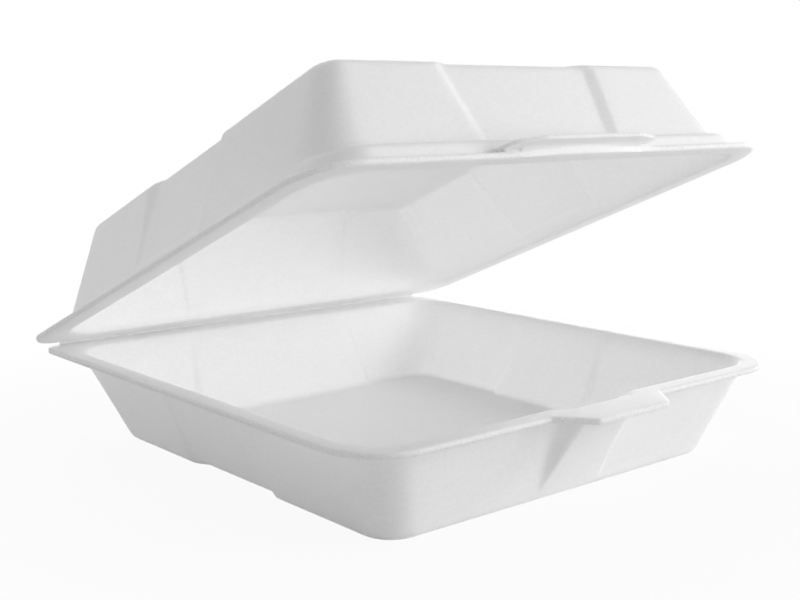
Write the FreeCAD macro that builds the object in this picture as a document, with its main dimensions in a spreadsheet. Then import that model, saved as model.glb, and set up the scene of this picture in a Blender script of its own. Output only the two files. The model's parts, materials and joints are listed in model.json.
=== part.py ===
import FreeCAD, Part
import Sketcher
import math
import os
import re
from FreeCAD import Placement, Rotation, Vector

# Hinged foam take-away container: a tray and a lid formed from one foam sheet, shown with the lid ajar.
# Both halves are drawn the way the mould forms them: they hang below the plane of their rims, with the
# hinge line along X through the origin and the front edge towards -Y. The lid is turned over at the end.

doc = FreeCAD.newDocument("foam_clamshell")

# Driving dimensions in millimetres, with one angle in degrees. A "reach" is measured from the hinge line
# towards the front, and "outside" or "inside" says which skin of the foam a size belongs to.
SIZES = [
    ("foam", 2.6, "thickness of the formed sheet"),
    ("wall", 2.5, "thickness of a sloping wall, measured level"),
    ("opening_angle", 22.5, "angle of the lid above its closed place"),
    ("rim_gap", 0.3, "gap between the two rims when closed"),
    ("hinge_length", 219, "length of the hinge line"),
    ("hinge_flange", 14.5, "flat of both rims next to the hinge line"),
    ("edge_round", 0.7, "rounding of the rims' outer edges"),
    ("mouth_radius", 18, "corners of the tray's opening, inside"),
    ("floor_radius", 14, "corners of the tray floor in plan, outside"),
    ("floor_fillet", 5.5, "rounding between floor and walls, outside"),
    ("tray_width", 236, "tray rim, side to side"),
    ("tray_reach", 239, "front edge of the tray rim"),
    ("tray_height", 41, "underside of the floor to the rim"),
    ("tray_flange", 8.4, "flat of the tray rim at the sides and the front"),
    ("tray_front_radius", 25, "front corners of the tray rim"),
    ("floor_width", 185, "tray floor, outside"),
    ("floor_start", 27, "back edge of the tray floor, outside"),
    ("floor_reach", 218.5, "front edge of the tray floor, outside"),
    ("lid_width", 252, "lid rim, side to side"),
    ("lid_reach", 242.5, "front edge of the lid rim"),
    ("lid_height", 47, "rim plane to the outside of the lid's top"),
    ("lid_flange", 10.8, "flat of the lid rim at the sides"),
    ("lid_front_radius", 23, "front corners of the lid rim"),
    ("lid_ledge", 12, "front edge of the lid rim back to the front wall at the rim plane, inside"),
    ("top_width", 189, "lid top, outside"),
    ("top_start", 26, "back edge of the lid top, outside"),
    ("top_setback", 20.5, "front edge of the lid rim back to the front edge of the top, outside"),
    ("top_radius", 9.5, "corners of the lid's top in plan, outside"),
    ("lid_mouth_radius", 19, "corners of the lid's opening, inside"),
    ("panel_slope", 1.3, "run of a panel's cheek for each millimetre of its depth"),
    ("panel_reach", 120, "middle of the side panels"),
    ("side_panel_rim", 50, "length of the side panels at the rim"),
    ("side_panel_floor", 64, "length of the side panels at the floor or top"),
    ("back_panel_rim", 92, "length of the back panels at the rim"),
    ("back_panel_floor", 109, "length of the back panels at the floor or top"),
    ("panel_depth_rim", 0.15, "depth of the side and back panels at the rim"),
    ("panel_depth_floor", 3.5, "depth of the side and back panels at the floor or top"),
    ("front_panel_rim", 74, "length of the lid's front panel at the rim"),
    ("front_panel_floor", 90, "length of the lid's front panel at the top"),
    ("front_depth_rim", 2.1, "depth of the lid's front panel at the rim"),
    ("front_depth_floor", 2.2, "depth of the lid's front panel at the top"),
    ("front_slope", 2.4, "run of the front panel's cheek for each millimetre of its depth"),
    ("bulge_depth", 9.3, "how far the front bulge stands out of the tray wall at the rim"),
    ("bulge_hollow", 5, "how far the bulge reaches out of the opening inside, at the rim"),
    ("bulge_drop", 36.5, "height of the bulge below the rim"),
    ("bulge_width_rim", 31, "width of the bulge at the rim"),
    ("bulge_width_foot", 35, "width of the bulge at its foot"),
    ("bulge_bevel", 2.8, "bevel along the upright edges of the bulge"),
    ("notch_width", 46, "length of the thumb notch in the rim behind the tab"),
    ("notch_depth", 1.5, "depth of the thumb notch"),
    ("tab_reach", 13.3, "how far the locking tab stands out of the tray rim"),
    ("tab_root", 62.6, "width of the tab at the rim"),
    ("tab_tip", 40.5, "width of the tab at its end"),
    ("tab_radius", 2, "corners of the tab"),
    ("band_setback", 5.5, "front edge of the lid rim back to the front of the raised band, outside"),
    ("band_height", 9.8, "rim plane to the top of the raised band, outside"),
    ("band_radius", 20, "front corners of the raised band, outside"),
    ("band_fillet", 2.8, "rounding along the top of the raised band, outside"),
    ("lip_stand", 2, "how far the lock lip stands out of the lid rim"),
    ("lip_height", 3, "rim plane to the top of the lock lip"),
    ("lip_width", 67, "length of the lock lip"),
    ("slot_height", 0.6, "gap of the lock slot, between lip and flap"),
    ("slot_width", 62, "length of the lock slot"),
    ("flap_stand", 8.3, "how far the lock flap stands out of the lid rim"),
    ("flap_width", 82, "length of the lock flap at its root"),
    ("flap_tip", 54, "length of the lock flap at its front"),
    ("flap_sweep", 4.5, "how far the flap's swept ends fall back from its front"),
    ("flap_round", 6, "rounding of the corners of the lock flap"),
    ("flap_thickness", 1.9, "thickness of the lock flap"),
    ("web", 0.8, "thickness of the sheet where it is pressed for the hinge"),
    ("web_run", 3, "width of the pressed strip on each side of the hinge line"),
    ("bead_radius", 0.5, "radius of the bead of foam on the hinge line"),
    ("bead_gap", 0.1, "gap between that bead and the edge of the lid"),
]

sheet = doc.addObject("Spreadsheet::Sheet", "sizes")
for row, (alias, value, note) in enumerate(SIZES, start=1):
    sheet.set(f"A{row}", str(value))
    sheet.set(f"B{row}", note)
    sheet.setAlias(f"A{row}", alias)
doc.recompute()

ALIASES = re.compile(r"\b(" + "|".join(alias for alias, value, note in SIZES) + r")\b")


def formula(text):
    """An expression on the sheet: each size in the text is written with its sheet's name."""
    return ALIASES.sub(r"sizes.\1", str(text))


def value_of(text):
    """The present value of a formula, used to start a sketch near its final shape."""
    return float(sheet.evalExpression(formula(text)))


def between(first, last, share):
    """The formula of a value that runs evenly from first to last, at a share of the way."""
    return f"(({first}) + (({last}) - ({first})) * ({share}))"


def new_sketch(body, name, role, offset="0"):
    """A sketch on an origin plane of its body, moved along that plane's normal by a formula."""
    sketch = body.newObject("Sketcher::SketchObject", name)
    plane = next(item for item in body.Origin.OriginFeatures if item.Role == role)
    sketch.AttachmentSupport = [(plane, "")]
    sketch.MapMode = "FlatFace"
    sketch.setExpression("AttachmentOffset.Base.z", formula(offset))
    return sketch


def hold(sketch, kind, geometry, point, text):
    """Hold one coordinate of a point, measured from the sketch's origin, at a formula's value."""
    value = value_of(text)
    if value >= 0:
        sketch.addConstraint(Sketcher.Constraint(kind, -1, 1, geometry, point, value))
        expression = formula(text)
    else:
        sketch.addConstraint(Sketcher.Constraint(kind, geometry, point, -1, 1, -value))
        expression = formula(f"-({text})")
    sketch.setExpression(f"Constraints[{sketch.ConstraintCount - 1}]", expression)


def draw_polygon(sketch, corners):
    """A closed outline through corners, each a pair of formulas."""
    points = [Vector(value_of(across), value_of(along), 0) for across, along in corners]
    for start, end in zip(points, points[1:] + points[:1]):
        sketch.addGeometry(Part.LineSegment(start, end), False)
    count = len(points)
    for index in range(count):
        sketch.addConstraint(Sketcher.Constraint("Coincident", index, 2, (index + 1) % count, 1))
    for index, (across, along) in enumerate(corners):
        hold(sketch, "DistanceX", index, 1, across)
        hold(sketch, "DistanceY", index, 1, along)


def draw_outline(sketch, half_width, start, reach, rear_radius, front_radius):
    """A rectangle with rounded corners, centred on the hinge line's middle, from start to reach."""
    half, rear, front = value_of(half_width), -value_of(start), -value_of(reach)
    back_round, front_round = value_of(rear_radius), value_of(front_radius)
    turns = [
        (Vector(half - back_round, rear - back_round, 0), back_round, 0, rear_radius),
        (Vector(back_round - half, rear - back_round, 0), back_round, 90, rear_radius),
        (Vector(front_round - half, front + front_round, 0), front_round, 180, front_radius),
        (Vector(half - front_round, front + front_round, 0), front_round, 270, front_radius),
    ]
    for centre, radius, angle, text in turns:
        circle = Part.Circle(centre, Vector(0, 0, 1), radius)
        arc = Part.ArcOfCircle(circle, math.radians(angle), math.radians(angle + 90))
        sketch.addGeometry(arc, False)
    arcs = list(sketch.Geometry)
    for index, arc in enumerate(arcs):
        following = arcs[(index + 1) % 4]
        line = sketch.addGeometry(Part.LineSegment(arc.EndPoint, following.StartPoint), False)
        sketch.addConstraint(Sketcher.Constraint("Tangent", index, 2, line, 1))
        sketch.addConstraint(Sketcher.Constraint("Tangent", line, 2, (index + 1) % 4, 1))
        sketch.addConstraint(Sketcher.Constraint("Horizontal" if index % 2 == 0 else "Vertical", line))
    for index, (centre, radius, angle, text) in enumerate(turns):
        sketch.addConstraint(Sketcher.Constraint("Radius", index, radius))
        sketch.setExpression(f"Constraints[{sketch.ConstraintCount - 1}]", formula(text))
    hold(sketch, "DistanceY", 4, 1, f"-({start})")
    hold(sketch, "DistanceX", 5, 1, f"-({half_width})")
    hold(sketch, "DistanceY", 6, 1, f"-({reach})")
    hold(sketch, "DistanceX", 7, 1, half_width)


def loft(body, first, second):
    """A straight-sided loft between two sketches of one body."""
    feature = body.newObject("PartDesign::AdditiveLoft", f"{body.Name}Loft")
    feature.Profile = first
    feature.Sections = [second]
    feature.Ruled = True
    return feature


def pad(body, sketch, length, downward=False, midplane=False):
    feature = body.newObject("PartDesign::Pad", f"{body.Name}Pad")
    feature.Profile = sketch
    feature.setExpression("Length", formula(length))
    feature.Reversed = downward
    feature.Midplane = midplane
    return feature


def round_edges(body, suffix, base, radius, wanted):
    """Round those edges of a feature that the function wanted picks out."""
    doc.recompute()
    chosen = [f"Edge{number}" for number, edge in enumerate(base.Shape.Edges, start=1) if wanted(edge)]
    feature = body.newObject("PartDesign::Fillet", f"{body.Name}{suffix}")
    feature.Base = (base, chosen)
    feature.setExpression("Radius", formula(radius))
    return feature


def flat_at(level):
    """Picks the edges that lie flat at this height."""
    return lambda edge: max(abs(edge.BoundBox.ZMin - level), abs(edge.BoundBox.ZMax - level)) < 0.01


def fuse(name, parts):
    result = doc.addObject("Part::MultiFuse", name)
    result.Shapes = parts
    return result


def cut(name, base, tool):
    result = doc.addObject("Part::Cut", name)
    result.Base = base
    result.Tool = tool
    return result


class Half:
    """What the tray and the lid have in common: a tapering form with panels pressed into its walls.

    rim and floor are each the half width, start, reach and corner radius of the outside of the form, at
    the rim plane and at the floor or top.
    """

    def __init__(self, name, height, rim, floor, panels):
        self.name = name
        self.height = height
        self.rim = rim
        self.floor = floor
        self.panels = panels

    def plan(self, depth, shrink):
        """Half width, start, reach and corners of the form at a depth, set back by shrink on all walls."""
        share = f"({depth}) / ({self.height})"
        half, start, reach, corner = (between(near, far, share) for near, far in zip(self.rim, self.floor))
        signs = zip((half, start, reach, corner), "-+--")
        return tuple(f"({size} {sign} ({shrink}))" for size, sign in signs)

    def block(self, suffix, shrink, foot, cuts=("0", "0"), front_cuts=("0", "0")):
        """The plain form down to the depth foot. The cuts set its walls back at rim and foot."""
        body = doc.addObject("PartDesign::Body", f"{self.name}{suffix}")
        sketches = []
        for place, depth, wall_cut, front_cut in zip(("Rim", "Foot"), ("0", foot), cuts, front_cuts):
            half, start, reach, corner = self.plan(depth, shrink)
            sketch = new_sketch(body, f"{body.Name}{place}", "XY_Plane", f"-({depth})")
            plan = (f"{half} - {wall_cut}", f"{start} + {wall_cut}", f"{reach} - {front_cut}")
            draw_outline(sketch, *plan, corner, corner)
            sketches.append(sketch)
        solid = loft(body, *sketches)
        radius = f"floor_fillet - ({shrink}) * 0.5"
        round_edges(body, "Round", solid, radius, flat_at(-value_of(foot)))
        return body

    def zone(self, suffix, wall_name, shrink, foot, lengths, depths, slope):
        """The space in which one wall is set back: a wedge with sloping cheeks."""
        body = doc.addObject("PartDesign::Body", f"{self.name}{suffix}{wall_name}")
        beyond = 3
        sketches = []
        for place, depth in (("Rim", "-1"), ("Foot", f"({foot} + 2)")):
            share = f"({depth}) / ({self.height})"
            half, start, reach, corner = self.plan(depth, shrink)
            length = f"({between(*lengths, share)} / 2 + ({shrink}) / 3)"
            inward = f"({between(*depths, share)} + floor_fillet)"
            wide = f"({length} + {slope} * {beyond})"
            narrow = f"({length} - {slope} * {inward})"
            sketch = new_sketch(body, f"{body.Name}{place}", "XY_Plane", f"-({depth})")
            if wall_name in ("Left", "Right"):
                sign = -1 if wall_name == "Left" else 1
                outer = f"{sign} * ({half} + {beyond})"
                inner = f"{sign} * ({half} - {inward})"
                corners = [
                    (outer, f"{wide} - panel_reach"),
                    (outer, f"-{wide} - panel_reach"),
                    (inner, f"-{narrow} - panel_reach"),
                    (inner, f"{narrow} - panel_reach"),
                ]
            else:
                sign, line = (1, start) if wall_name == "Back" else (-1, reach)
                outer = f"(-{line} + {sign * beyond})"
                inner = f"(-{line} - {sign} * {inward})"
                corners = [(wide, outer), (f"-{wide}", outer), (f"-{narrow}", inner), (narrow, inner)]
            draw_polygon(sketch, corners)
            sketches.append(sketch)
        loft(body, *sketches)
        return body

    def form(self, suffix, shrink, foot):
        """One skin of the half as a solid, with its panels pressed in."""
        plain = self.block(suffix, shrink, foot)
        cuts = ("panel_depth_rim", "panel_depth_floor")
        front_cuts = self.panels["Front"][1] if "Front" in self.panels else ("0", "0")
        small = self.block(f"{suffix}Core", shrink, foot, cuts, front_cuts)
        zones = []
        for wall_name, panel in self.panels.items():
            zones.append(self.zone(suffix, wall_name, shrink, foot, *panel))
        hollows = cut(f"{self.name}{suffix}Hollows", fuse(f"{self.name}{suffix}Zones", zones), small)
        return cut(f"{self.name}{suffix}Pressed", plain, hollows)

    def flange(self, half_width, start, reach, front_radius):
        """The flat rim, still without its opening."""
        body = doc.addObject("PartDesign::Body", f"{self.name}Flange")
        sketch = new_sketch(body, f"{body.Name}Sketch", "XY_Plane")
        draw_outline(sketch, half_width, start, reach, f"({half_width} - hinge_length / 2)", front_radius)
        plate = pad(body, sketch, "foam", downward=True)
        round_edges(body, "Round", plate, "edge_round", lambda edge: edge.BoundBox.ZLength < 0.01)
        return body

    def hinge_groove(self):
        """The wedge that thins the outside of the rim towards the hinge line."""
        body = doc.addObject("PartDesign::Body", f"{self.name}Groove")
        sketch = new_sketch(body, f"{body.Name}Sketch", "YZ_Plane")
        corners = [
            ("1", "-web"),
            ("0", "-web"),
            ("-web_run", "-foam"),
            ("-web_run", "-foam - 1"),
            ("1", "-foam - 1"),
        ]
        draw_polygon(sketch, corners)
        pad(body, sketch, "hinge_length + 60", midplane=True)
        return body

    def hinge_web(self, start):
        """The thin strip that is left along the hinge line."""
        box = doc.addObject("Part::Box", f"{self.name}Web")
        box.setExpression("Length", formula("hinge_length"))
        box.setExpression("Width", formula(f"web_run - ({start})"))
        box.setExpression("Height", formula("web"))
        box.setExpression("Placement.Base.x", formula("-hinge_length / 2"))
        box.setExpression("Placement.Base.y", formula("-web_run"))
        box.setExpression("Placement.Base.z", formula("-web"))
        return box


# Each panel has its lengths and its depths, both at the rim and at the floor, and the slope of its cheeks.
side_panel = (
    ("side_panel_rim", "side_panel_floor"),
    ("panel_depth_rim", "panel_depth_floor"),
    "panel_slope",
)
back_panel = (
    ("back_panel_rim", "back_panel_floor"),
    ("panel_depth_rim", "panel_depth_floor"),
    "panel_slope",
)
front_panel = (
    ("front_panel_rim", "front_panel_floor"),
    ("front_depth_rim", "front_depth_floor"),
    "front_slope",
)

# Tray: floor, four walls with panels on three of them, and the flat rim.
tray_half = Half(
    "Tray",
    "tray_height",
    (
        "tray_width / 2 - tray_flange + wall",
        "hinge_flange - wall",
        "tray_reach - tray_flange + wall",
        "mouth_radius + wall",
    ),
    ("floor_width / 2", "floor_start", "floor_reach", "floor_radius"),
    {"Left": side_panel, "Right": side_panel, "Back": back_panel},
)
tray_outside = tray_half.form("Outside", "0", "tray_height")
tray_inside = tray_half.form("Inside", "wall", "(tray_height - foam)")
tray_flange = tray_half.flange("tray_width / 2", "0", "tray_reach", "tray_front_radius")


def bulge(name, shrink, top, stand_at_rim):
    """The wedge that stands out of the front wall under the tab: outside skin, or inside if shrunk."""
    body = doc.addObject("PartDesign::Body", name)
    sketches = []
    for place, depth, width, stand in (
        ("Rim", top, "bulge_width_rim", stand_at_rim),
        ("Foot", "bulge_drop", "bulge_width_foot", "0.2"),
    ):
        reach = tray_half.plan(depth, shrink)[2]
        half = f"({width} / 2 - ({shrink}))"
        bevel = f"(bulge_bevel * ({stand}) / ({stand_at_rim}))"
        sketch = new_sketch(body, f"{name}{place}", "XY_Plane", f"-({depth})")
        corners = [
            (f"{half} + {bevel}", f"-{reach} + wall / 2"),
            (f"-{half} - {bevel}", f"-{reach} + wall / 2"),
            (f"-{half} - {bevel}", f"-{reach}"),
            (f"-{half}", f"-{reach} - {bevel}"),
            (f"-{half}", f"-{reach} - {stand} + {bevel}"),
            (f"-{half} + {bevel}", f"-{reach} - {stand}"),
            (f"{half} - {bevel}", f"-{reach} - {stand}"),
            (half, f"-{reach} - {stand} + {bevel}"),
            (half, f"-{reach} - {bevel}"),
            (f"{half} + {bevel}", f"-{reach}"),
        ]
        draw_polygon(sketch, corners)
        sketches.append(sketch)
    loft(body, *sketches)
    return body


bulge_outside = bulge("BulgeOutside", "0", "0.5", "bulge_depth")
bulge_inside = bulge("BulgeInside", "wall", "0", "bulge_hollow")

# The locking tab is part of the rim and passes through the slot of the lid when the box is shut.
tab = doc.addObject("PartDesign::Body", "Tab")
tab_sketch = new_sketch(tab, "TabSketch", "XY_Plane")
tab_corners = [
    ("tab_root / 2", "-tray_reach + edge_round"),
    ("-tab_root / 2", "-tray_reach + edge_round"),
    ("-tab_root / 2", "-tray_reach"),
    ("-tab_tip / 2", "-tray_reach - tab_reach"),
    ("tab_tip / 2", "-tray_reach - tab_reach"),
    ("tab_root / 2", "-tray_reach"),
]
draw_polygon(tab_sketch, tab_corners)
tab_pad = pad(tab, tab_sketch, "foam", downward=True)
tab_end = -value_of("tray_reach + tab_reach")


def upright_at_tab_end(edge):
    return edge.BoundBox.ZLength > 1 and abs(edge.BoundBox.YMax - tab_end) < 0.01


round_edges(tab, "Round", tab_pad, "tab_radius", upright_at_tab_end)

bead = doc.addObject("Part::Cylinder", "HingeBead")
bead.setExpression("Radius", formula("bead_radius"))
bead.setExpression("Height", formula("hinge_length"))
bead.Placement = Placement(Vector(0, 0, 0), Rotation(Vector(0, 1, 0), 90))
bead.setExpression("Placement.Base.x", formula("-hinge_length / 2"))
bead.setExpression("Placement.Base.z", formula("rim_gap / 2"))

tray_solid = fuse("TraySolid", [tray_outside, tray_flange, bulge_outside, tab])

# The thumb notch sets the edge of the opening forward behind the tab, only through the top of the rim.
notch = doc.addObject("PartDesign::Body", "Notch")
notch_sketch = new_sketch(notch, "NotchSketch", "XY_Plane")
mouth_reach = "(tray_reach - tray_flange)"
notch_corners = [
    ("notch_width / 2", f"-{mouth_reach} + wall"),
    ("-notch_width / 2", f"-{mouth_reach} + wall"),
    ("-notch_width / 2", f"-{mouth_reach}"),
    ("-notch_width / 2 + bulge_hollow", f"-{mouth_reach} - bulge_hollow"),
    ("notch_width / 2 - bulge_hollow", f"-{mouth_reach} - bulge_hollow"),
    ("notch_width / 2", f"-{mouth_reach}"),
]
draw_polygon(notch_sketch, notch_corners)
pad(notch, notch_sketch, "notch_depth", downward=True)
tray_hollow = fuse("TrayHollow", [tray_inside, bulge_inside, notch])
tray_shell = cut("TrayShell", tray_solid, tray_hollow)
tray_thinned = cut("TrayThinned", tray_shell, tray_half.hinge_groove())
tray = fuse("Tray", [tray_thinned, tray_half.hinge_web("0"), bead])

# Lid: top, four walls with panels on all of them, the flat rim and a raised band along the front.
lid_half = Half(
    "Lid",
    "lid_height",
    (
        "lid_width / 2 - lid_flange + wall",
        "hinge_flange - wall",
        "lid_reach - lid_ledge + wall",
        "lid_mouth_radius + wall",
    ),
    ("top_width / 2", "top_start", "(lid_reach - top_setback)", "top_radius"),
    {"Left": side_panel, "Right": side_panel, "Back": back_panel, "Front": front_panel},
)
hinge_clear = "(bead_radius + bead_gap)"
band_front = "(lid_reach - band_setback)"
flap_front = "(lid_reach + flap_stand)"
lid_outside = lid_half.form("Outside", "0", "lid_height")
lid_inside = lid_half.form("Inside", "wall", "(lid_height - foam)")
lid_flange = lid_half.flange("lid_width / 2", hinge_clear, "lid_reach", "lid_front_radius")


def band(name, shrink, top):
    """The raised band of the lid: it runs along the front and dies out into the side walls."""
    body = doc.addObject("PartDesign::Body", name)
    inset = f"({shrink} + 0.1)"
    sketches = []
    for place, depth, lean in (("Rim", "0", "0"), ("Top", top, "0.5")):
        half, start = lid_half.plan(depth, inset)[:2]
        sketch = new_sketch(body, f"{name}{place}", "XY_Plane", f"-({depth})")
        front = f"({band_front} - ({shrink}) - {lean})"
        corner = f"(band_radius - ({shrink}) - {lean})"
        draw_outline(sketch, half, f"({start} + 60)", front, corner, corner)
        sketches.append(sketch)
    solid = loft(body, *sketches)
    radius = f"band_fillet - ({shrink}) * 0.6"
    round_edges(body, "Round", solid, radius, flat_at(-value_of(top)))
    return body


def lock_box(name, width, start, reach, low, high):
    """A block across the middle of the lid's front, from start to reach and from low to high."""
    box = doc.addObject("Part::Box", name)
    box.setExpression("Length", formula(width))
    box.setExpression("Width", formula(f"({reach}) - ({start})"))
    box.setExpression("Height", formula(f"({high}) - ({low})"))
    box.setExpression("Placement.Base.x", formula(f"-({width}) / 2"))
    box.setExpression("Placement.Base.y", formula(f"-({reach})"))
    box.setExpression("Placement.Base.z", formula(f"-({high})"))
    return box


band_outside = band("BandOutside", "0", "band_height")
band_inside = band("BandInside", "wall", "(band_height - foam)")
slot_top = "(lip_height + slot_height)"
lip = lock_box("Lip", "lip_width", f"{band_front} - wall", "lid_reach + lip_stand", "0", "lip_height")

# The flap's ends are swept back, so its front edge is a shallow bow.
flap = doc.addObject("PartDesign::Body", "Flap")
flap_sketch = new_sketch(flap, "FlapSketch", "XY_Plane", f"-{slot_top}")
flap_corners = [
    ("flap_width / 2", f"-{band_front} + wall / 2"),
    ("-flap_width / 2", f"-{band_front} + wall / 2"),
    ("-flap_width / 2", f"-{flap_front} + flap_sweep"),
    ("-flap_tip / 2", f"-{flap_front}"),
    ("flap_tip / 2", f"-{flap_front}"),
    ("flap_width / 2", f"-{flap_front} + flap_sweep"),
]
draw_polygon(flap_sketch, flap_corners)
flap_pad = pad(flap, flap_sketch, "flap_thickness", downward=True)
flap_shoulder = -value_of(f"{flap_front} - flap_sweep")


def upright_at_flap_front(edge):
    return edge.BoundBox.ZLength > 1 and edge.BoundBox.YMax < flap_shoulder + 0.01


round_edges(flap, "Round", flap_pad, "flap_round", upright_at_flap_front)
slot = lock_box("Slot", "slot_width", f"{band_front} - 2 * wall", flap_front, "lip_height", slot_top)

lid_solid = fuse("LidSolid", [lid_outside, lid_flange, band_outside, lip])
lid_hollow = fuse("LidHollow", [lid_inside, band_inside])
lid_shell = cut("LidShell", lid_solid, lid_hollow)
lid_locked = cut("LidSlotted", fuse("LidWithFlap", [lid_shell, flap]), slot)
lid_thinned = cut("LidThinned", lid_locked, lid_half.hinge_groove())
lid = fuse("Lid", [lid_thinned, lid_half.hinge_web(hinge_clear)])
doc.recompute()

# The finished box stands on the table with the middle of its floor on the origin, and the lid ajar.
tray.Label = "tray"
lid.Label = "lid"
hinge_height = value_of("tray_height + rim_gap / 2")
hinge_back = value_of("tray_reach / 2")
lid_open = Rotation(Vector(1, 0, 0), -value_of("opening_angle"))
lid_lift = lid_open.multVec(Vector(0, 0, value_of("rim_gap / 2")))
lid_turn = lid_open.multiply(Rotation(Vector(0, 1, 0), 180))
tray.Placement = Placement(Vector(0, hinge_back, value_of("tray_height")), Rotation())
lid.Placement = Placement(Vector(0, hinge_back, hinge_height) + lid_lift, lid_turn)
doc.recompute()

for item in doc.Objects:
    if {"Invalid", "Error"} & set(item.State):
        raise RuntimeError(f"{item.Name} did not build: {item.State}")

os.makedirs("parts", exist_ok=True)
for piece in (tray, lid):
    shape = piece.Shape
    if shape.isNull() or not shape.isValid() or len(shape.Solids) != 1:
        raise RuntimeError(f"{piece.Label} is not one sound solid: {len(shape.Solids)} solids")
    shape.exportStep(f"parts/{piece.Label}.step")
    print(piece.Label, round(shape.Volume), shape.BoundBox)
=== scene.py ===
"""Hinged take-away container pressed from white polystyrene foam sheet, standing open on a pale floor."""

import json
import math

import bmesh
import bpy
import numpy as np
from mathutils import Matrix, Vector


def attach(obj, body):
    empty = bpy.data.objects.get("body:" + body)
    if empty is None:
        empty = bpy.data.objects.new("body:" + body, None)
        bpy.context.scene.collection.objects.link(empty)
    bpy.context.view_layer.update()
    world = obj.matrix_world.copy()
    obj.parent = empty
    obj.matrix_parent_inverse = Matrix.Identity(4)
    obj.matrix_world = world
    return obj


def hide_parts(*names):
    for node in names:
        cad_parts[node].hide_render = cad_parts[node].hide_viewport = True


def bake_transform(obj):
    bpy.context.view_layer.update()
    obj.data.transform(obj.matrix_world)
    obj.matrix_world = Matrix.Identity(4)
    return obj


bl_info = {
    "name": "Foam Clamshell Container",
    "version": (1, 0, 0),
    "blender": (4, 5, 0),
    "location": "View3D > Sidebar > Foam Box",
    "description": "Dresses the tray, lid and hinge of a foam take-away container and sets its stage",
    "category": "Object",
}

MM = 0.001
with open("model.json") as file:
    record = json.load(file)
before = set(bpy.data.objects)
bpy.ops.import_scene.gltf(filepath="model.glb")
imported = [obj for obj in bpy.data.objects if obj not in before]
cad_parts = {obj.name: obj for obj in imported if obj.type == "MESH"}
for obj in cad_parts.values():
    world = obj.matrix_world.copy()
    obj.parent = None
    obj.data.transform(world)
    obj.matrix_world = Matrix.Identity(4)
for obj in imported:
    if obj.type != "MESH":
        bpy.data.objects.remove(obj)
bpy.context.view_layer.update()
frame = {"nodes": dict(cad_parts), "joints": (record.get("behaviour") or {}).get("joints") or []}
hinge_point = Vector(frame["joints"][0]["pos_m"])

# Openings of the two halves in their rim planes: half width, rear, front and corner radius, in metres.
# Rear and front are measured from the hinge line.
MOUTHS = {
    "tray": (109.6 * MM, 14.5 * MM, 230.6 * MM, 18 * MM),
    "lid": (115.2 * MM, 14.5 * MM, 230.5 * MM, 19 * MM),
}

# Lip of the lock: where it starts, its height and half its length, in metres.
LIP_ROOT = 242.5 * MM
LIP_HEIGHT = 3 * MM
LIP_HALF = 33.5 * MM

# Zone round the lock that keeps its detail: where it starts, half its width and its height, in metres.
LOCK_START = 236 * MM
LOCK_HALF = 46 * MM
LOCK_HEIGHT = 6.5 * MM

# The flat rim: how far outside the opening it counts from, and how deep its foam goes, in metres.
RIM_START = 4 * MM
RIM_DEPTH = 3.3 * MM

# The edges that the knife left, in metres: lowest part of the rim's edge, the length beside the hinge that
# has none, half the length along the lip that has none, and where the front of the flap starts, at which
# height and half its length.
EDGE_DEPTH = 2.8 * MM
EDGE_START = 6 * MM
LIP_UNCUT = 34 * MM
FLAP_START = 243 * MM
FLAP_HEIGHT = 3.4 * MM
FLAP_HALF = 42 * MM

# Gap between the two rims when the box is shut; the hinge line lies midway in it.
RIM_GAP = 0.3 * MM

# Sizes of the foam's patterns in metres. Cells of about 0.3 mm are drawn at 0.8 mm, the finest that shows.
CLOUD_SIZE = 30 * MM
RIPPLE_SIZE = 11 * MM
PEBBLE_SIZE = 1.6 * MM
CELL_SIZE = 0.8 * MM

# Points closer than this are merged, in metres.
MERGE_DISTANCE = 0.001 * MM

# Faces that a finished half may have.
MOST_FACES = 90000

# Place of the camera in metres and its view, from the photograph's perspective.
CAMERA_PLACE = (-354.91 * MM, -412.77 * MM, 156.29 * MM)
CAMERA_AZIMUTH = math.radians(-40.53)
CAMERA_ELEVATION = math.radians(9.49)
CAMERA_ROLL = math.radians(0.07)

# Soft lamps: name, place in metres, size across and up in metres, and watts.
LAMPS = (
    ("front_lamp", (1.0, -1.0, 0.45), (1.0, 1.0), 14.1),
    ("rear_lamp", (0.0, 0.8, 1.2), (1.0, 1.0), 3.8),
    ("backdrop_lamp", (1.0, 1.0, 0.24), (1.6, 0.45), 11.2),
    ("side_lamp", (-1.35, 0.2, 0.3), (1.0, 0.6), 1.8),
    ("low_lamp", (0.35, -1.35, 0.16), (0.7, 0.3), 0.95),
)
LAMP_AIM = Vector((0, 0, 60 * MM))


def linear(hex_colour):
    """A colour written as sRGB hex, turned to the linear values that shaders use."""
    channels = [int(hex_colour[start:start + 2], 16) / 255 for start in (1, 3, 5)]
    return tuple(c / 12.92 if c <= 0.04045 else ((c + 0.055) / 1.055) ** 2.4 for c in channels)


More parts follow.
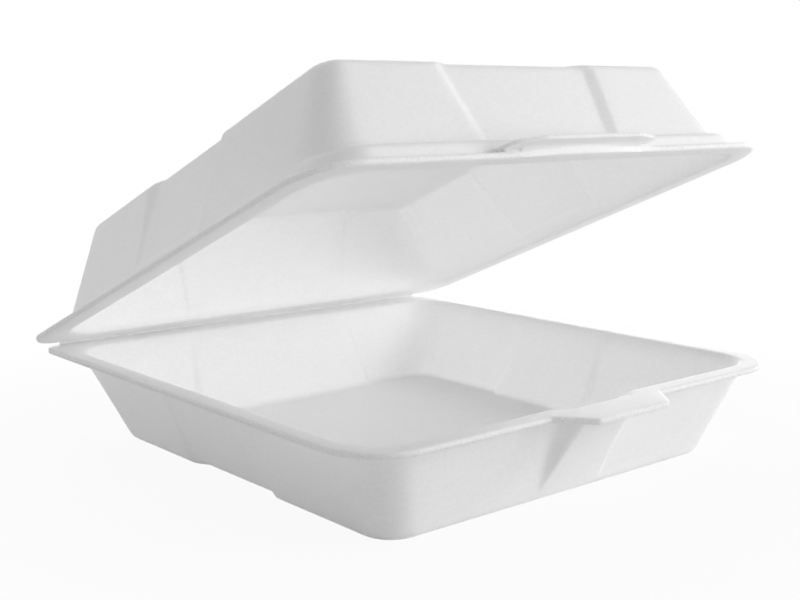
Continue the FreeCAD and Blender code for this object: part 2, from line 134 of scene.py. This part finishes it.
class FoamSettings(bpy.types.PropertyGroup):
    """Sizes and colours of the foam."""

    opening: bpy.props.FloatProperty(
        name="Opening",
        description="Angle of the lid above its closed place",
        default=math.radians(22.5),
        subtype="ANGLE",
    )
    voxel: bpy.props.FloatProperty(
        name="Voxel",
        description="Size of the faces that the foam is rebuilt from",
        default=0.5 * MM,
        min=0.3 * MM,
        max=3 * MM,
        unit="LENGTH",
    )
    softness: bpy.props.IntProperty(
        name="Softness",
        description="How often the pressed bends are smoothed",
        default=24,
        min=0,
        max=80,
    )
    mouth_softness: bpy.props.IntProperty(
        name="Mouth Softness",
        description="How often the bend from each rim into its cavity is smoothed",
        default=40,
        min=0,
        max=160,
    )
    hinge_length: bpy.props.FloatProperty(
        name="Hinge Length",
        description="Length of the hinge line",
        default=218 * MM,
        unit="LENGTH",
    )
    web: bpy.props.FloatProperty(
        name="Web",
        description="Thickness of the sheet where it is pressed for the hinge",
        default=0.8 * MM,
        unit="LENGTH",
    )
    web_run: bpy.props.FloatProperty(
        name="Web Run",
        description="Width of the hinge strip on each side of the hinge line",
        default=6 * MM,
        unit="LENGTH",
    )
    web_start: bpy.props.FloatProperty(
        name="Web Start",
        description="Distance from the hinge line at which the rims end and the strip goes on alone",
        default=1.2 * MM,
        unit="LENGTH",
    )
    web_dive: bpy.props.FloatProperty(
        name="Web Dive",
        description="How far the edges of the hinge strip dive into the rims",
        default=0.35 * MM,
        unit="LENGTH",
    )
    glow: bpy.props.FloatProperty(
        name="Glow",
        description="How far light spreads inside the foam",
        default=4.5 * MM,
        unit="LENGTH",
    )
    skin: bpy.props.FloatVectorProperty(
        name="Skin",
        description="Colour of the foam's skin",
        subtype="COLOR",
        default=linear("#FCFCFC"),
        min=0,
        max=1,
    )
    shade: bpy.props.FloatVectorProperty(
        name="Shade",
        description="Colour of the foam between its cells and where the sheet is drawn thin",
        subtype="COLOR",
        default=linear("#F5F5F5"),
        min=0,
        max=1,
    )


class StageSettings(bpy.types.PropertyGroup):
    """Camera, floor and light."""

    lens: bpy.props.FloatProperty(
        name="Lens",
        description="Focal length of the camera in millimetres",
        default=55.36,
    )
    fill: bpy.props.FloatProperty(
        name="Fill",
        description="Strength of the even light from all around",
        default=0.299,
        min=0,
    )
    floor: bpy.props.FloatVectorProperty(
        name="Floor",
        description="Colour of the floor",
        subtype="COLOR",
        default=linear("#E8E8E8"),
        min=0,
        max=1,
    )


def only(thing):
    """Deselect everything, then select this object and make it the active one."""
    bpy.ops.object.select_all(action="DESELECT")
    thing.select_set(True)
    bpy.context.view_layer.objects.active = thing


def apply_modifier(thing, name, kind, **settings):
    """Add a modifier with its settings and apply it."""
    only(thing)
    modifier = thing.modifiers.new(name, kind)
    for key, value in settings.items():
        setattr(modifier, key, value)
    bpy.ops.object.modifier_apply(modifier=modifier.name)


def pick_faces(thing, facing):
    """In edit mode, select only the faces of a thing that face this way."""
    bpy.ops.mesh.select_all(action="DESELECT")
    bpy.ops.mesh.select_mode(type="FACE")
    shape = bmesh.from_edit_mesh(thing.data)
    for face in shape.faces:
        face.select = face.normal.dot(facing) > 0.99
    bmesh.update_edit_mesh(thing.data)


def read_vectors(collection, key):
    """One vector value of every item of a mesh's list, as rows of an array."""
    flat = np.empty(len(collection) * 3)
    collection.foreach_get(key, flat)
    return flat.reshape(-1, 3)


def from_rim(points, half, turn_only=False):
    """Points as seen from a half's rim: across the box, forward of the hinge line, and into the half.

    With turn_only they are directions, which are turned but not moved.
    """
    moved = points if turn_only else points - np.array(hinge_point)
    across, forward, height = moved[:, 0], -moved[:, 1], moved[:, 2]
    if half == "tray":
        return across, forward, -height
    opening = bpy.context.scene.foam_settings.opening
    cos, sin = math.cos(opening), math.sin(opening)
    return across, forward * cos + height * sin, height * cos - forward * sin


def outside_mouth(across, forward, half):
    """How far points lie outside the outline of a half's opening, less than zero inside it."""
    half_width, rear, front, radius = MOUTHS[half]
    a = np.abs(across) - (half_width - radius)
    b = np.abs(forward - (rear + front) / 2) - ((front - rear) / 2 - radius)
    return np.hypot(np.maximum(a, 0), np.maximum(b, 0)) + np.minimum(np.maximum(a, b), 0) - radius


def weigh(piece, name, weights):
    """Make a vertex group, with the weights rounded to tenths."""
    group = piece.vertex_groups.new(name=name)
    tenths = np.round(weights * 10).astype(int)
    for step in range(1, 11):
        chosen = np.nonzero(tenths == step)[0]
        if len(chosen):
            group.add(chosen.tolist(), step / 10, "REPLACE")


def add_node(tree, kind, links=(), **settings):
    """Add a node, set its values, and link its inputs from (input, source socket) pairs."""
    made = tree.nodes.new(kind)
    for key, value in settings.items():
        label = key.replace("_", " ")
        if label in made.inputs:
            made.inputs[label].default_value = value
        else:
            setattr(made, key, value)
    for socket, source in links:
        tree.links.new(source, made.inputs[socket])
    return made


def foam_material():
    """Extruded polystyrene foam sheet, thermoformed: fine closed cells under a smooth satin skin.

    The sheet is thin enough to glow where light falls on its far side, so light spreads inside it. Where
    the knife has trimmed the rim, the attribute cut_edge is 1 and the open cells show as bright grains.
    """
    settings = bpy.context.scene.foam_settings
    made = bpy.data.materials.new("foam_skin")
    made.use_nodes = True
    tree = made.node_tree
    tree.nodes.clear()
    place = ("Vector", add_node(tree, "ShaderNodeTexCoord").outputs["Object"])
    trimmed = add_node(tree, "ShaderNodeAttribute", attribute_name="cut_edge").outputs["Fac"]

    # Four sizes of pattern: clouds where the sheet was drawn thinner, the slow ripple of the mould, the
    # pebbling of the skin, and the cells.
    cloud = add_node(tree, "ShaderNodeTexNoise", [place], Scale=1 / CLOUD_SIZE, Detail=2.0)
    ripple = add_node(tree, "ShaderNodeTexNoise", [place], Scale=1 / RIPPLE_SIZE, Detail=1.0)
    pebble = add_node(tree, "ShaderNodeTexNoise", [place], Scale=1 / PEBBLE_SIZE, Detail=2.0)
    cells = add_node(tree, "ShaderNodeTexVoronoi", [place], Scale=1 / CELL_SIZE)

    # The skin's tone wavers between its two colours with the clouds and the pebbling.
    mottled = add_node(
        tree,
        "ShaderNodeMath",
        [(0, cloud.outputs["Fac"]), (1, pebble.outputs["Fac"])],
        operation="ADD",
    )
    tone = add_node(tree, "ShaderNodeValToRGB")
    halved = add_node(tree, "ShaderNodeMath", [(0, mottled.outputs[0])], operation="MULTIPLY")
    halved.inputs[1].default_value = 0.5
    tree.links.new(halved.outputs[0], tone.inputs["Fac"])
    dark, light = tone.color_ramp.elements
    dark.position, dark.color = 0.36, (*settings.shade, 1)
    light.position, light.color = 0.64, (*settings.skin, 1)

    # The open cells of a trimmed edge: every cell has a tone of its own.
    grain = add_node(tree, "ShaderNodeValToRGB", [("Fac", cells.outputs["Color"])])
    dark, light = grain.color_ramp.elements
    dark.position, dark.color = 0.1, (*(c * 0.96 for c in settings.shade), 1)
    light.position, light.color = 0.8, (*settings.skin, 1)
    colour = add_node(
        tree,
        "ShaderNodeMix",
        [("Factor", trimmed), (6, tone.outputs["Color"]), (7, grain.outputs["Color"])],
        data_type="RGBA",
    )

    # Relief, from the fine to the coarse; the open cells of a trimmed edge stand a little higher.
    heights = {"To_Min": 0.04 * MM, "To_Max": 0.06 * MM}
    cell_height = add_node(tree, "ShaderNodeMapRange", [("Value", trimmed)], **heights)
    fine = add_node(
        tree,
        "ShaderNodeBump",
        [("Height", cells.outputs["Distance"]), ("Distance", cell_height.outputs["Result"])],
    )
    pebbled = add_node(
        tree,
        "ShaderNodeBump",
        [("Height", pebble.outputs["Fac"]), ("Normal", fine.outputs["Normal"])],
        Distance=0.05 * MM,
    )
    soft = add_node(
        tree,
        "ShaderNodeBump",
        [("Height", ripple.outputs["Fac"]), ("Normal", pebbled.outputs["Normal"])],
        Distance=0.14 * MM,
    )
    gloss = add_node(tree, "ShaderNodeMapRange", [("Value", pebble.outputs["Fac"])], To_Min=0.44, To_Max=0.6)
    shader = add_node(
        tree,
        "ShaderNodeBsdfPrincipled",
        [
            ("Base Color", colour.outputs[2]),
            ("Roughness", gloss.outputs["Result"]),
            ("Normal", soft.outputs["Normal"]),
        ],
        IOR=1.4,
        Subsurface_Weight=1.0,
        Subsurface_Radius=(1.0, 1.0, 1.0),
        Subsurface_Scale=settings.glow,
    )
    add_node(tree, "ShaderNodeOutputMaterial", [("Surface", shader.outputs["BSDF"])])
    return made


def foam_skin():
    """The one foam material, made when it is first asked for."""
    return bpy.data.materials.get("foam_skin") or foam_material()


def forward_of(half):
    """The direction from the hinge line along a half's rim towards its front."""
    if half == "tray":
        return Vector((0, -1, 0))
    opening = bpy.context.scene.foam_settings.opening
    return Vector((0, -math.cos(opening), math.sin(opening)))


def end_at_hinge(piece, half):
    """In edit mode, cut off the rim's last bit before the hinge line, where only the thin strip is left."""
    forward = forward_of(half)
    bpy.ops.mesh.select_all(action="SELECT")
    bpy.ops.mesh.bisect(
        plane_co=hinge_point + forward * bpy.context.scene.foam_settings.web_start,
        plane_no=-forward,
        use_fill=True,
        clear_outer=True,
    )


def round_lip(piece):
    """Press the lip of the lock to its real form: swelling to the middle, and falling back downwards."""
    vertices = piece.data.vertices
    points = read_vectors(vertices, "co")
    across, forward, depth = from_rim(points, "lid")
    beyond = forward - LIP_ROOT
    in_lip = (beyond > 0) & (depth < LIP_HEIGHT + 0.25 * MM) & (np.abs(across) < LIP_HALF + MM)
    swell = np.clip(1 - (across / LIP_HALF) ** 2, 0, 1)
    share = np.clip(0.5 + 0.5 * depth / LIP_HEIGHT, 0, 1) * swell
    back = np.where(in_lip, beyond * (1 - share), 0)
    points -= back[:, None] * np.array(forward_of("lid"))
    vertices.foreach_set("co", points.ravel())
    piece.data.update()


def soften(piece, half):
    """Round the pressed bends, most of all the one from the rim into the cavity, and keep the edges thin."""
    settings = bpy.context.scene.foam_settings
    across, forward, depth = from_rim(read_vectors(piece.data.vertices, "co"), half)
    outside = outside_mouth(across, forward, half)
    in_rim = (outside > RIM_START) & (depth < RIM_DEPTH)
    in_lock = (forward > LOCK_START) & (np.abs(across) < LOCK_HALF) & (depth < LOCK_HEIGHT) & (half == "lid")
    weigh(piece, "bends", np.where(in_lock, 0.4, np.where(in_rim, 0.3, 1.0)))
    near = np.clip(1.4 - np.abs(outside) / RIM_START, 0, 1)
    weigh(piece, "mouth", np.where(depth < 5 * MM, near, 0) * ~in_lock)
    coarser = 1
    rounds = settings.softness // coarser
    apply_modifier(piece, "Soft bends", "SMOOTH", factor=0.5, iterations=rounds, vertex_group="bends")
    rounds = settings.mouth_softness // coarser
    apply_modifier(piece, "Soft mouth", "SMOOTH", factor=0.5, iterations=rounds, vertex_group="mouth")
    piece.vertex_groups.clear()


def mark_cut_edges(piece, half):
    """Mark the faces that the trimming knife left: the outer edge of the rim and the front of the flap."""
    mesh = piece.data
    across, forward, depth = from_rim(read_vectors(mesh.vertices, "co"), half)
    rise = from_rim(read_vectors(mesh.vertices, "normal"), half, turn_only=True)[2]
    outside = outside_mouth(across, forward, half)
    edge = (outside > RIM_START) & (depth < EDGE_DEPTH) & (forward > EDGE_START)
    if half == "lid":
        at_lip = (np.abs(across) < LIP_UNCUT) & (forward > FLAP_START)
        at_flap = (forward > FLAP_START) & (depth > FLAP_HEIGHT) & (np.abs(across) < FLAP_HALF)
        edge = edge & ~at_lip | at_flap

    # Only faces that stand upright are marked, and the mark fades where they turn level.
    mark = np.where(edge, np.clip((0.85 - np.abs(rise)) / 0.3, 0, 1), 0)
    values = mesh.attributes.new("cut_edge", "FLOAT", "POINT")
    values.data.foreach_set("value", mark.astype(np.float32))


def foam_piece(node):
    """The piece that stands for a half: its form rebuilt in even faces, with soft bends and trimmed edges."""
    settings = bpy.context.scene.foam_settings
    piece = bpy.data.objects.new(f"{node}_foam", frame["nodes"][node].data.copy())
    bpy.context.scene.collection.objects.link(piece)
    piece.data.materials.clear()
    only(piece)
    bpy.ops.object.mode_set(mode="EDIT")
    bpy.ops.mesh.select_all(action="SELECT")
    bpy.ops.mesh.remove_doubles(threshold=MERGE_DISTANCE)
    end_at_hinge(piece, node)
    bpy.ops.object.mode_set(mode="OBJECT")
    size = settings.voxel * 1
    apply_modifier(piece, "Even faces", "REMESH", mode="VOXEL", voxel_size=size)
    if node == "lid":
        round_lip(piece)
    soften(piece, node)
    ratio = min(1, MOST_FACES / len(piece.data.polygons))
    apply_modifier(piece, "Fewer faces", "DECIMATE", ratio=ratio)
    mark_cut_edges(piece, node)
    only(piece)
    bpy.ops.object.shade_smooth_by_angle(angle=math.radians(50))
    piece.data.materials.append(foam_skin())
    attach(piece, node)
    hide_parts(node)


class FOAMBOX_OT_tray(bpy.types.Operator):
    """Dress the tray"""

    bl_idname = "foambox.tray"
    bl_label = "Tray"

    def execute(self, context):
        foam_piece("tray")
        return {"FINISHED"}


class FOAMBOX_OT_lid(bpy.types.Operator):
    """Dress the lid"""

    bl_idname = "foambox.lid"
    bl_label = "Lid"

    def execute(self, context):
        foam_piece("lid")
        return {"FINISHED"}


class FOAMBOX_OT_hinge(bpy.types.Operator):
    """Add the thin pressed strip of the sheet that bends between the tray and the lid"""

    bl_idname = "foambox.hinge"
    bl_label = "Hinge"

    def execute(self, context):
        settings = context.scene.foam_settings
        web, run = settings.web, settings.web_run
        place = hinge_point - Vector((0, run / 2, RIM_GAP / 2 + web / 2))
        bpy.ops.mesh.primitive_cube_add(size=1, location=place, scale=(settings.hinge_length, run, web))
        strip = context.object
        strip.name = "hinge_strip"
        bpy.ops.object.transform_apply(location=True, rotation=True, scale=True)
        bpy.ops.object.mode_set(mode="EDIT")

        # The strip's front edge dives into the tray's rim, and its back face is bent round the hinge line.
        pick_faces(strip, Vector((0, -1, 0)))
        bpy.ops.transform.translate(value=(0, 0, -settings.web_dive))
        pick_faces(strip, Vector((0, 1, 0)))
        bend = math.pi - settings.opening
        bpy.ops.mesh.spin(steps=10, angle=bend, center=hinge_point, axis=(-1, 0, 0))

        # From there it runs forward again, along the rim of the lid, and dives into that.
        forward = forward_of("lid")
        upward = Vector((0, math.sin(settings.opening), math.cos(settings.opening)))
        bpy.ops.mesh.extrude_region_move(
            TRANSFORM_OT_translate={"value": forward * run + upward * settings.web_dive}
        )
        bpy.ops.mesh.select_all(action="SELECT")
        bpy.ops.mesh.remove_doubles(threshold=MERGE_DISTANCE)
        bpy.ops.mesh.normals_make_consistent(inside=False)
        bpy.ops.object.mode_set(mode="OBJECT")
        only(strip)
        bpy.ops.object.shade_smooth_by_angle(angle=math.radians(40))
        strip.data.materials.append(foam_skin())
        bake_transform(strip)
        return {"FINISHED"}


def background_ray(tree):
    """1 for the rays that show the background: the camera's own, and those mirrored or bent on their way."""
    path = add_node(tree, "ShaderNodeLightPath").outputs
    mirrored = add_node(
        tree,
        "ShaderNodeMath",
        [(0, path["Is Camera Ray"]), (1, path["Is Glossy Ray"])],
        operation="MAXIMUM",
    )
    bent = add_node(
        tree,
        "ShaderNodeMath",
        [(0, mirrored.outputs[0]), (1, path["Is Transmission Ray"])],
        operation="MAXIMUM",
    )
    return bent.outputs[0]


def floor_material():
    """Pale floor that the camera sees as white paper, with a trace of the object's shadow near it."""
    made = bpy.data.materials.new("pale_floor")
    made.use_nodes = True
    tree = made.node_tree
    tree.nodes.clear()
    seen = background_ray(tree)

    # The share of white grows with the distance in metres from the middle of the object.
    place = add_node(tree, "ShaderNodeTexCoord").outputs["Object"]
    away = add_node(tree, "ShaderNodeVectorMath", [(0, place)], operation="LENGTH").outputs["Value"]
    white = add_node(
        tree,
        "ShaderNodeMapRange",
        [("Value", away)],
        From_Min=0.14,
        From_Max=0.32,
        To_Min=0.92,
        To_Max=1.0,
    )
    share = add_node(tree, "ShaderNodeMath", [(0, seen), (1, white.outputs["Result"])], operation="MULTIPLY")
    colour = (*bpy.context.scene.stage_settings.floor, 1)
    matte = add_node(tree, "ShaderNodeBsdfDiffuse", Color=colour)
    paper = add_node(tree, "ShaderNodeEmission", Color=(1, 1, 1, 1), Strength=1.0)
    sources = [(0, share.outputs[0]), (1, matte.outputs[0]), (2, paper.outputs[0])]
    mix = add_node(tree, "ShaderNodeMixShader", sources)
    add_node(tree, "ShaderNodeOutputMaterial", [("Surface", mix.outputs[0])])
    return made


def view_turn():
    """The camera's turn, from its azimuth, elevation and roll."""
    az, el, roll = CAMERA_AZIMUTH, CAMERA_ELEVATION, CAMERA_ROLL
    back = Vector((math.sin(az) * math.cos(el), -math.cos(az) * math.cos(el), math.sin(el)))
    right = Vector((math.cos(az), math.sin(az), 0))
    up = back.cross(right)
    rolled_right = right * math.cos(roll) + up * math.sin(roll)
    rolled_up = up * math.cos(roll) - right * math.sin(roll)
    return Matrix((rolled_right, rolled_up, back)).transposed().to_euler()


class FOAMBOX_OT_stage(bpy.types.Operator):
    """Add the floor, the white surroundings, the lamps and the camera"""

    bl_idname = "foambox.stage"
    bl_label = "Stage"

    def execute(self, context):
        scene = context.scene
        bpy.ops.mesh.primitive_plane_add(size=8, location=(0, 0, 0))
        floor = context.object
        floor.name = "floor"
        floor.data.materials.append(floor_material())

        scene.world = bpy.data.worlds.new("studio")
        scene.world.use_nodes = True
        tree = scene.world.node_tree
        tree.nodes.clear()
        seen = background_ray(tree)
        fill = add_node(tree, "ShaderNodeBackground", Color=(1, 1, 1, 1), Strength=scene.stage_settings.fill)
        white = add_node(tree, "ShaderNodeBackground", Color=(1, 1, 1, 1), Strength=1.0)
        mix = add_node(tree, "ShaderNodeMixShader", [(0, seen), (1, fill.outputs[0]), (2, white.outputs[0])])
        add_node(tree, "ShaderNodeOutputWorld", [("Surface", mix.outputs[0])])

        for name, place, (width, height), power in LAMPS:
            bpy.ops.object.light_add(type="AREA", location=place)
            lamp = context.object
            lamp.name = name
            lamp.data.shape = "RECTANGLE"
            lamp.data.size = width
            lamp.data.size_y = height
            lamp.data.energy = power
            lamp.visible_camera = False
            lamp.rotation_euler = (LAMP_AIM - Vector(place)).to_track_quat("-Z", "Y").to_euler()

        bpy.ops.object.camera_add(location=CAMERA_PLACE, rotation=view_turn())
        camera = context.object
        camera.name = "photo_camera"
        camera.data.sensor_width = 36
        camera.data.lens = scene.stage_settings.lens
        scene.camera = camera
        scene.view_settings.view_transform = "Standard"

        # Inside the white box light goes from wall to wall many times before it fades.
        scene.cycles.max_bounces = 24
        scene.cycles.diffuse_bounces = 12
        return {"FINISHED"}


class FOAMBOX_PT_panel(bpy.types.Panel):
    """Lists the pieces and the stage"""

    bl_idname = "FOAMBOX_PT_panel"
    bl_label = "Foam Box"
    bl_space_type = "VIEW_3D"
    bl_region_type = "UI"
    bl_category = "Foam Box"

    def draw(self, context):
        for operator in OPERATORS:
            self.layout.operator(operator.bl_idname)


OPERATORS = (FOAMBOX_OT_tray, FOAMBOX_OT_lid, FOAMBOX_OT_hinge, FOAMBOX_OT_stage)
CLASSES = (FoamSettings, StageSettings, *OPERATORS, FOAMBOX_PT_panel)


def register():
    for item in CLASSES:
        bpy.utils.register_class(item)
    bpy.types.Scene.foam_settings = bpy.props.PointerProperty(type=FoamSettings)
    bpy.types.Scene.stage_settings = bpy.props.PointerProperty(type=StageSettings)


def unregister():
    del bpy.types.Scene.stage_settings
    del bpy.types.Scene.foam_settings
    for item in reversed(CLASSES):
        bpy.utils.unregister_class(item)


def main():
    register()
    bpy.ops.foambox.tray()
    bpy.ops.foambox.lid()
    bpy.ops.foambox.hinge()
    bpy.ops.foambox.stage()


if __name__ == "__main__":
    main()
